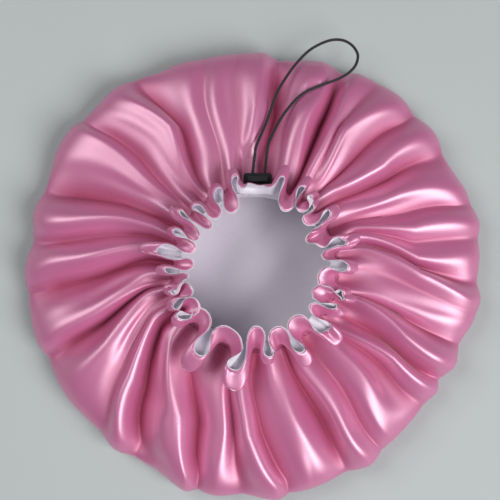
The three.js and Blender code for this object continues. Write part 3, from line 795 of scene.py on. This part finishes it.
def stitched_row(height):
    """The path of one row: the cloth's ring nearest to a height, with a wave along its normal.

    The wave is a sine with one turn for each stitch, lifted a little and cut off flat above and below.
    """
    row = np.argmin(np.abs(gathered[..., 2].mean(axis=1) - height))
    steps = np.arange(STITCHES * STITCH_STEPS)
    columns = steps * COLUMNS / len(steps)
    first = columns.astype(int)
    share = (columns - first)[:, None]
    after = (first + 1) % COLUMNS
    ring = gathered[row, first] * (1 - share) + gathered[row, after] * share
    normal = gathered_normals[row, first] * (1 - share) + gathered_normals[row, after] * share
    wave = np.clip(STITCH_WAVE * np.sin(2 * np.pi * steps / STITCH_STEPS) + STITCH_LIFT, *STITCH_LEVELS)
    return ring + (THREAD_RISE * wave[:, None] + SHELL_OFFSET) * normal


for stitch_name, stitch_height in STITCH_HEIGHTS.items():
    stitch_points = tube_points(stitched_row(stitch_height), THREAD_RADIUS, THREAD_SIDES, closed=True)
    stitch = grid_mesh(f"casing_stitches_{stitch_name}", stitch_points, closed=True)
    stitch.data.materials.append(thread_material)
    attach(stitch, "bonnet")
    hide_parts(f"casing_stitch_{stitch_name}")

# The two buttonholes: eyelets in the casing, where the cord comes out, overcast with pink thread.
# Each is a ring of thread round the cord, with a rib for each turn of the overcasting.
BUTTONHOLE_RADIUS = 0.00245
OVERCAST_TURNS = 26
OVERCAST_STEPS = 6
OVERCAST_SIDES = 10
OVERCAST_RIB = 0.00009

ring_steps = OVERCAST_TURNS * OVERCAST_STEPS
ring_turn = 2 * np.pi * np.arange(ring_steps)[:, None] / ring_steps
tube_turn = 2 * np.pi * np.arange(OVERCAST_SIDES) / OVERCAST_SIDES
rib = THREAD_RADIUS + OVERCAST_RIB * np.sin(OVERCAST_TURNS * ring_turn)
reach = BUTTONHOLE_RADIUS + rib * np.cos(tube_turn)
eyelet_ring = np.stack(
    [reach * np.cos(ring_turn), -rib * np.sin(tube_turn), reach * np.sin(ring_turn)], axis=-1
)

for side_name in ("left", "right"):
    eyelet_low, eyelet_high = (np.array(corner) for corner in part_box(f"buttonhole_{side_name}"))
    eyelet_points = eyelet_ring + (eyelet_low + eyelet_high) / 2
    eyelet = grid_mesh(f"buttonhole_{side_name}_overcast", eyelet_points, closed=True)
    eyelet.data.materials.append(thread_material)
    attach(eyelet, "bonnet")
    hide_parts(f"buttonhole_{side_name}")

# The drawstring inside the casing: the same elastic, one half from each buttonhole round to the far side,
# where the two ends are tied. It is hidden between the two cloths. Angles are in degrees.
CASING_CORD_RADIUS = 0.0609
HALF_STEPS = 90
EXIT_GAP = 1.2
KNOT_ANGLE = 270
KNOT_HALF_LENGTH = 0.0048
KNOT_TURNS = 2
KNOT_STEPS = 48
KNOT_SWING_OUT = 0.0002
KNOT_SWING_UP = 0.0013


def casing_arc(start, end, steps):
    """A level arc of the casing's radius between two angles."""
    return upright_grid(CASING_CORD_RADIUS, np.full(steps, CORD_HEIGHT), np.linspace(start, end, steps))


left_exit, right_exit = (np.degrees(np.arctan2(strand(side)[0, 1], strand(side)[0, 0])) for side in (-1, 1))
knot_half_angle = np.degrees(KNOT_HALF_LENGTH / CASING_CORD_RADIUS)
knot_start = KNOT_ANGLE - knot_half_angle
knot_end = KNOT_ANGLE + knot_half_angle
knot_path = casing_arc(knot_start, knot_end, KNOT_STEPS)
knot_turn = np.linspace(0, 2 * np.pi * KNOT_TURNS, KNOT_STEPS)
knot_path[:, 1] += KNOT_SWING_OUT * np.sin(knot_turn)
knot_path[:, 2] += KNOT_SWING_UP * np.cos(knot_turn) * np.sin(knot_turn / (2 * KNOT_TURNS))
hidden_paths = {
    "drawstring_left": casing_arc(left_exit + EXIT_GAP, knot_start, HALF_STEPS),
    "drawstring_right": casing_arc(right_exit - EXIT_GAP, knot_end - 360, HALF_STEPS),
    "drawstring_knot": knot_path,
}
for hidden_name, hidden_path in hidden_paths.items():
    hidden = cord_piece(f"{hidden_name}_cord", hidden_path)
    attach(hidden, "bonnet")
    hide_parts(hidden_name)

# The cord lock: a black moulded body with a sprung plunger, and under it a steel coil that shortens as the
# plunger goes down. The body and the plunger keep their made shape, with softened edges.
LOCK_EDGES = {"lock_body": 0.0003, "lock_plunger": 0.0002}
LOCK_EDGE_STEPS = 2
PLASTIC_COLOURS = [(0.015, 0.016, 0.019), (0.009, 0.01, 0.012)]
PLASTIC_ROUGHNESS = [0.3, 0.48]
PLASTIC_GRAIN = (0.0004, 0.0004, 0.0004)
PLASTIC_GRAIN_DEPTH = 0.000015
STEEL_COLOURS = [(0.46, 0.46, 0.48), (0.37, 0.37, 0.39)]
STEEL_ROUGHNESS = [0.22, 0.38]
STEEL_GRAIN = (0.0005, 0.0005, 0.0001)
STEEL_GRAIN_DEPTH = 0.000005

plastic_material = grained_material(
    "black_plastic", PLASTIC_COLOURS, PLASTIC_ROUGHNESS, PLASTIC_GRAIN, PLASTIC_GRAIN_DEPTH
)
steel_material = grained_material(
    "spring_steel", STEEL_COLOURS, STEEL_ROUGHNESS, STEEL_GRAIN, STEEL_GRAIN_DEPTH, sockets={"Metallic": 1}
)

for lock_name, lock_edge in LOCK_EDGES.items():
    lock_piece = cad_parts[lock_name]
    lock_piece.data.materials.clear()
    lock_piece.data.materials.append(plastic_material)
    softened = lock_piece.modifiers.new("edges", "BEVEL")
    softened.width = lock_edge
    softened.segments = LOCK_EDGE_STEPS
    softened.limit_method = "ANGLE"
    softened.harden_normals = True
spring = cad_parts["lock_spring"]
spring.data.materials.clear()
spring.data.materials.append(steel_material)
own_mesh(spring)
